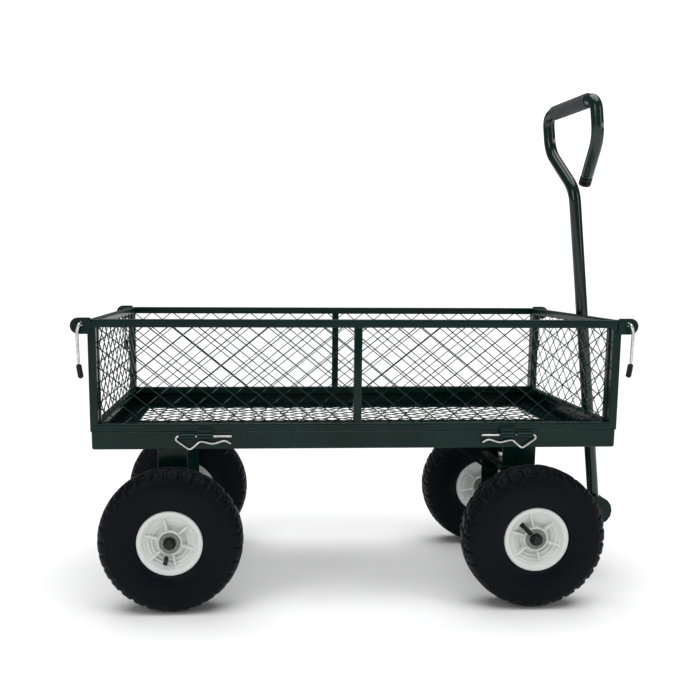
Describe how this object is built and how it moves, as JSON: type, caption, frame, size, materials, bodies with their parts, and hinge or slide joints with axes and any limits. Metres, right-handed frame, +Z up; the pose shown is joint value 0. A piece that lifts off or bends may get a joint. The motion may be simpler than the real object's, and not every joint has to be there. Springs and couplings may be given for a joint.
{
  "type": "garden cart",
  "caption": "Four-wheeled steel garden cart with a mesh bed, drop-down mesh panels on hairpin-clip hinges, corner latch pins, a steered front axle, pneumatic tyres and a tilting tow handle.",
  "frame": {"origin": "on the ground under the middle of the whole outline, which is 32.5 mm ahead of the deck's middle", "axes": "+X forward, towards the tow handle; +Y to the left; +Z up"},
  "size_m": [1.048, 0.5348, 0.9492],
  "materials": {
    "green_paint": "gloss dark green powder coat",
    "zinc": "bright zinc plate",
    "bearing_steel": "ground steel",
    "axle_steel": "bare steel bar",
    "black_steel": "black oxide",
    "white_plastic": "satin moulded white",
    "tyre_rubber": "black moulded tyre rubber",
    "valve_rubber": "black rubber",
    "black_vinyl": "dipped black vinyl",
    "grip_foam": "dark grey closed-cell foam"
  },
  "bodies": {
    "chassis": {"deck_frame": "green_paint", "floor_mesh": "green_paint", "center_beam": "green_paint", "rear_axle_bracket": "green_paint", "rear_axle": "axle_steel", "rear_left_axle_nut": "black_steel", "rear_right_axle_nut": "black_steel", "front_bolster": "green_paint", "front_brace": "green_paint", "kingpin": "zinc", "kingpin_nut": "zinc", "left_a_hinge_clip": "zinc", "left_b_hinge_clip": "zinc", "right_a_hinge_clip": "zinc", "right_b_hinge_clip": "zinc", "front_a_hinge_clip": "zinc", "front_b_hinge_clip": "zinc", "rear_a_hinge_clip": "zinc", "rear_b_hinge_clip": "zinc"},
    "rear_left_wheel": {"rear_left_tyre": "tyre_rubber", "rear_left_rim": "white_plastic", "rear_left_bearing": "bearing_steel", "rear_left_valve_stem": "valve_rubber"},
    "rear_right_wheel": {"rear_right_tyre": "tyre_rubber", "rear_right_rim": "white_plastic", "rear_right_bearing": "bearing_steel", "rear_right_valve_stem": "valve_rubber"},
    "front_left_wheel": {"front_left_tyre": "tyre_rubber", "front_left_rim": "white_plastic", "front_left_bearing": "bearing_steel", "front_left_valve_stem": "valve_rubber"},
    "front_right_wheel": {"front_right_tyre": "tyre_rubber", "front_right_rim": "white_plastic", "front_right_bearing": "bearing_steel", "front_right_valve_stem": "valve_rubber"},
    "front_axle_assembly": {"axle_yoke": "green_paint", "front_axle": "axle_steel", "front_left_axle_nut": "black_steel", "front_right_axle_nut": "black_steel", "tow_bolt": "zinc", "tow_nut": "zinc"},
    "tow_handle": {"handle_tube": "green_paint", "handle_grip": "grip_foam", "handle_end_plug": "black_vinyl"},
    "left_panel": {"left_panel_frame": "green_paint", "left_panel_mesh": "green_paint"},
    "right_panel": {"right_panel_frame": "green_paint", "right_panel_mesh": "green_paint"},
    "front_panel": {"front_panel_frame": "green_paint", "front_panel_mesh": "green_paint"},
    "rear_panel": {"rear_panel_frame": "green_paint", "rear_panel_mesh": "green_paint"},
    "left_a_latch": {"left_a_latch_pin": "zinc", "left_a_latch_grip": "black_vinyl"},
    "left_b_latch": {"left_b_latch_pin": "zinc", "left_b_latch_grip": "black_vinyl"},
    "right_a_latch": {"right_a_latch_pin": "zinc", "right_a_latch_grip": "black_vinyl"},
    "right_b_latch": {"right_b_latch_pin": "zinc", "right_b_latch_grip": "black_vinyl"}
  },
  "joints": [
    {"name": "rear_left_wheel_spin", "type": "hinge", "parent": "chassis", "child": "rear_left_wheel", "pos_m": [-0.365, 0.201, 0.1315], "axis": [0, 1, 0], "continuous": true},
    {"name": "rear_right_wheel_spin", "type": "hinge", "parent": "chassis", "child": "rear_right_wheel", "pos_m": [-0.365, -0.201, 0.1315], "axis": [0, 1, 0], "continuous": true},
    {"name": "front_left_wheel_spin", "type": "hinge", "parent": "front_axle_assembly", "child": "front_left_wheel", "pos_m": [0.3, 0.201, 0.1315], "axis": [0, 1, 0], "continuous": true},
    {"name": "front_right_wheel_spin", "type": "hinge", "parent": "front_axle_assembly", "child": "front_right_wheel", "pos_m": [0.3, -0.201, 0.1315], "axis": [0, 1, 0], "continuous": true},
    {"name": "steering", "type": "hinge", "parent": "chassis", "child": "front_axle_assembly", "pos_m": [0.3, 0, 0.232], "axis": [0, 0, 1], "range_deg": [-17, 17]},
    {"name": "handle_tilt", "type": "hinge", "parent": "front_axle_assembly", "child": "tow_handle", "pos_m": [0.494, 0, 0.1255], "axis": [0, 1, 0], "range_deg": [0, 100]},
    {"name": "left_panel_fold", "type": "hinge", "parent": "chassis", "child": "left_panel", "pos_m": [-0.0325, 0.253, 0.33], "axis": [-1, 0, 0], "range_deg": [0, 168]},
    {"name": "right_panel_fold", "type": "hinge", "parent": "chassis", "child": "right_panel", "pos_m": [-0.0325, -0.253, 0.33], "axis": [1, 0, 0], "range_deg": [0, 168]},
    {"name": "rear_panel_fold", "type": "hinge", "parent": "chassis", "child": "rear_panel", "pos_m": [-0.5, 0, 0.33], "axis": [0, -1, 0], "range_deg": [0, 168]},
    {"name": "front_panel_fold", "type": "hinge", "parent": "chassis", "child": "front_panel", "pos_m": [0.435, 0, 0.33], "axis": [0, 1, 0], "range_deg": [0, 2]},
    {"name": "left_a_latch_slide", "type": "slide", "parent": "left_panel", "child": "left_a_latch", "axis": [0, -1, 0], "range_m": [0, 0.0065]},
    {"name": "left_b_latch_slide", "type": "slide", "parent": "left_panel", "child": "left_b_latch", "axis": [0, -1, 0], "range_m": [0, 0.0065]},
    {"name": "right_a_latch_slide", "type": "slide", "parent": "right_panel", "child": "right_a_latch", "axis": [0, 1, 0], "range_m": [0, 0.0065]},
    {"name": "right_b_latch_slide", "type": "slide", "parent": "right_panel", "child": "right_b_latch", "axis": [0, 1, 0], "range_m": [0, 0.0065]}
  ]
}
